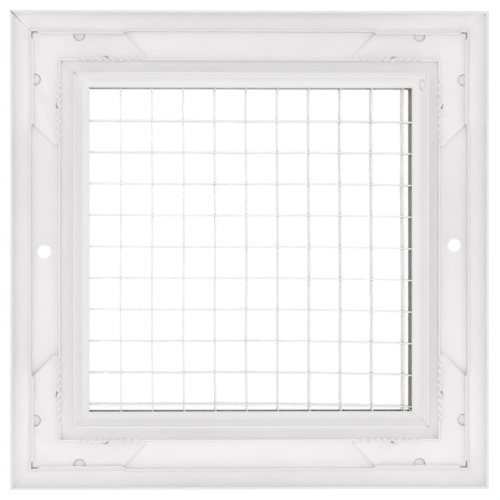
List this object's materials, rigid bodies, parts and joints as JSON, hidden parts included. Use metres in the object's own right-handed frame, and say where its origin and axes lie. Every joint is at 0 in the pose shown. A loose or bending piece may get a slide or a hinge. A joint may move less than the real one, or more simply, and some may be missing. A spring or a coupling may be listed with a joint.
{
  "type": "return air grille",
  "caption": "Square return air grille: mitred white aluminium frame with a neck, corner gussets and an egg-crate core.",
  "frame": {"origin": "centre of the square frame at the level of its front face, which is the underside as it lies", "axes": "+Z from the front face towards the back, into the duct; +X to the right and +Y to the top of the frame seen from the back"},
  "size_m": [0.1968, 0.1968, 0.023],
  "materials": {
    "frame_coat": "satin white powder coat on extruded aluminium",
    "gusset_coat": "satin white powder coat on flat plate",
    "retainer_coat": "satin white powder coat on folded strip",
    "core_coat": "satin white coat on thin aluminium blades"
  },
  "bodies": {
    "root": {"frame_rail_top": "frame_coat", "frame_rail_bottom": "frame_coat", "frame_rail_left": "frame_coat", "frame_rail_right": "frame_coat", "corner_gusset_top_left": "gusset_coat", "corner_gusset_top_right": "gusset_coat", "corner_gusset_bottom_left": "gusset_coat", "corner_gusset_bottom_right": "gusset_coat", "core_retainer_top": "retainer_coat", "core_retainer_bottom": "retainer_coat", "core_retainer_left": "retainer_coat", "core_retainer_right": "retainer_coat", "blade_vertical_01": "core_coat", "blade_vertical_02": "core_coat", "blade_vertical_03": "core_coat", "blade_vertical_04": "core_coat", "blade_vertical_05": "core_coat", "blade_vertical_06": "core_coat", "blade_vertical_07": "core_coat", "blade_vertical_08": "core_coat", "blade_vertical_09": "core_coat", "blade_vertical_10": "core_coat", "blade_horizontal_01": "core_coat", "blade_horizontal_02": "core_coat", "blade_horizontal_03": "core_coat", "blade_horizontal_04": "core_coat", "blade_horizontal_05": "core_coat", "blade_horizontal_06": "core_coat", "blade_horizontal_07": "core_coat", "blade_horizontal_08": "core_coat", "blade_horizontal_09": "core_coat", "blade_horizontal_10": "core_coat"}
  },
  "joints": []
}
